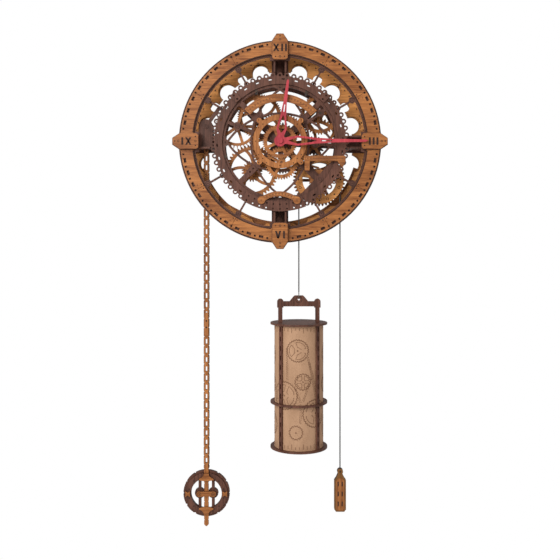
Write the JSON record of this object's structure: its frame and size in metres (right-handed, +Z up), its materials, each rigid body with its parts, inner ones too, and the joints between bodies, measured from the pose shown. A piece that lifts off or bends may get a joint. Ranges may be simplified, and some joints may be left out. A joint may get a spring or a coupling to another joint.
{
  "type": "wooden gear wall clock",
  "caption": "Weight-driven wall clock of cut plywood with a ring dial, open wheel train, long pendulum and counterweight.",
  "frame": {"origin": "centre of the hanger hole, in the plane of the wall", "axes": "+Z up, -Y towards the viewer and out of the wall, +X to the right seen from the front"},
  "size_m": [0.3636, 0.0995, 0.8418],
  "materials": {
    "light_wood": "laser-cut plywood, satin",
    "dark_wood": "stained plywood, matt",
    "pulley_wood": "plywood, satin",
    "red_wood": "painted plywood, satin",
    "card": "kraft card printed with line work, matt",
    "iron": "bare discs",
    "steel": "drawn rod",
    "cord": "braided cord"
  },
  "bodies": {
    "frame": {"wall_hanger": "light_wood", "wall_feet": "dark_wood", "back_ring": "light_wood", "back_bridge": "dark_wood", "ring_pillars": "dark_wood", "quarter_struts": "dark_wood", "hour_ribs": "dark_wood", "rim_ring": "dark_wood", "dial_ring": "light_wood", "plaque_backs": "dark_wood", "hour_plaques": "light_wood", "front_bridge": "dark_wood", "bridge_pillars": "pulley_wood", "chain_ring": "dark_wood", "centre_ring": "light_wood", "bearing_blocks": "dark_wood", "arch_plates": "light_wood", "side_plate": "light_wood", "pendulum_bracket": "dark_wood", "cord_over_pulley": "cord", "bridge_fasteners": "steel"},
    "escape": {"escape_wheel": "light_wood", "escape_pinion": "dark_wood", "escape_arbor": "steel"},
    "third": {"third_wheel": "light_wood", "third_pinion": "dark_wood", "third_arbor": "steel"},
    "centre": {"centre_wheel": "light_wood", "centre_pinion": "dark_wood", "centre_arbor": "steel", "cannon_pinion": "dark_wood", "minute_hand": "red_wood"},
    "motion": {"motion_wheel": "light_wood"},
    "upper": {"upper_wheel": "light_wood"},
    "lower": {"lower_wheel": "light_wood"},
    "hour": {"hour_wheel": "light_wood", "hour_hand": "red_wood"},
    "idler": {"idler_pinion": "dark_wood"},
    "intermediate": {"intermediate_wheel": "light_wood", "intermediate_pinion": "dark_wood", "intermediate_arbor": "steel"},
    "great": {"great_wheel": "light_wood", "pulley": "pulley_wood", "ratchet_wheel": "light_wood", "click_plate": "dark_wood", "great_arbor": "steel"},
    "click": {"click": "pulley_wood"},
    "pendulum": {"pallet_anchor": "dark_wood", "anchor_arbor": "steel", "pendulum_rod": "light_wood", "pendulum_rod_back": "dark_wood", "bob_ring": "dark_wood", "bob_cross": "light_wood"},
    "weight": {"weight_tube": "card", "weight_filling": "iron", "weight_frame": "dark_wood", "weight_hook": "steel", "weight_cord": "cord"},
    "counterweight": {"counterweight": "light_wood", "counterweight_cord": "cord"}
  },
  "joints": [
    {"name": "weight_drop", "type": "slide", "parent": "frame", "child": "weight", "axis": [0, 0, 1], "range_m": [-0.33796, 0.04731], "deforming": ["weight_cord"]},
    {"name": "great_turn", "type": "hinge", "parent": "frame", "child": "great", "pos_m": [0.068, -0.05, -0.2145], "axis": [0, -1, 0], "range_deg": [-78, 547]},
    {"name": "intermediate_turn", "type": "hinge", "parent": "frame", "child": "intermediate", "pos_m": [0.05992, -0.05, -0.15505], "axis": [0, -1, 0], "range_deg": [-1501, 211]},
    {"name": "idler_turn", "type": "hinge", "parent": "frame", "child": "idler", "pos_m": [0.00599, -0.05, -0.12876], "axis": [0, -1, 0], "range_deg": [-841, 6001]},
    {"name": "centre_turn", "type": "hinge", "parent": "frame", "child": "centre", "pos_m": [0, -0.05, -0.152], "axis": [0, -1, 0], "range_deg": [-6001, 841]},
    {"name": "third_turn", "type": "hinge", "parent": "frame", "child": "third", "pos_m": [-0.03474, -0.05, -0.10605], "axis": [0, -1, 0], "range_deg": [-6721, 48001]},
    {"name": "escape_turn", "type": "hinge", "parent": "frame", "child": "escape", "pos_m": [-0.07326, -0.05, -0.124], "axis": [0, -1, 0], "range_deg": [-360001, 50401]},
    {"name": "motion_turn", "type": "hinge", "parent": "frame", "child": "motion", "pos_m": [0.00251, -0.05, -0.18791], "axis": [0, -1, 0], "range_deg": [-281, 2001]},
    {"name": "hour_turn", "type": "hinge", "parent": "frame", "child": "hour", "pos_m": [0, -0.05, -0.152], "axis": [0, -1, 0], "range_deg": [-501, 71]},
    {"name": "upper_turn", "type": "hinge", "parent": "frame", "child": "upper", "pos_m": [0.0686, -0.05, -0.10216], "axis": [0, -1, 0], "range_deg": [-1281, 9144]},
    {"name": "lower_turn", "type": "hinge", "parent": "frame", "child": "lower", "pos_m": [-0.04808, -0.05, -0.20008], "axis": [0, -1, 0], "range_deg": [-2561, 18287]},
    {"name": "counterweight_rise", "type": "slide", "parent": "frame", "child": "counterweight", "axis": [0, 0, 1], "range_m": [-0.048, 0.338], "deforming": ["counterweight_cord"]},
    {"name": "pendulum_swing", "type": "hinge", "parent": "frame", "child": "pendulum", "pos_m": [-0.127, -0.05, -0.124], "axis": [0, -1, 0], "range_deg": [-2.5, 2.5]},
    {"name": "click_lift", "type": "hinge", "parent": "great", "child": "click", "pos_m": [0.04807, -0.05, -0.19075], "axis": [0, -1, 0], "range_deg": [0, 12]}
  ],
  "couplings": [
    {"joint": "great_turn", "follows": "weight_drop", "rad_per_m": -28.169},
    {"joint": "intermediate_turn", "follows": "weight_drop", "rad_per_m": 77.465},
    {"joint": "idler_turn", "follows": "weight_drop", "rad_per_m": -309.86},
    {"joint": "centre_turn", "follows": "weight_drop", "rad_per_m": 309.86},
    {"joint": "third_turn", "follows": "weight_drop", "rad_per_m": -2478.9},
    {"joint": "escape_turn", "follows": "weight_drop", "rad_per_m": 18592},
    {"joint": "motion_turn", "follows": "weight_drop", "rad_per_m": -103.29},
    {"joint": "hour_turn", "follows": "weight_drop", "rad_per_m": 25.822},
    {"joint": "upper_turn", "follows": "weight_drop", "rad_per_m": -472.17},
    {"joint": "lower_turn", "follows": "weight_drop", "rad_per_m": -944.33},
    {"joint": "counterweight_rise", "follows": "weight_drop", "ratio": -1}
  ]
}
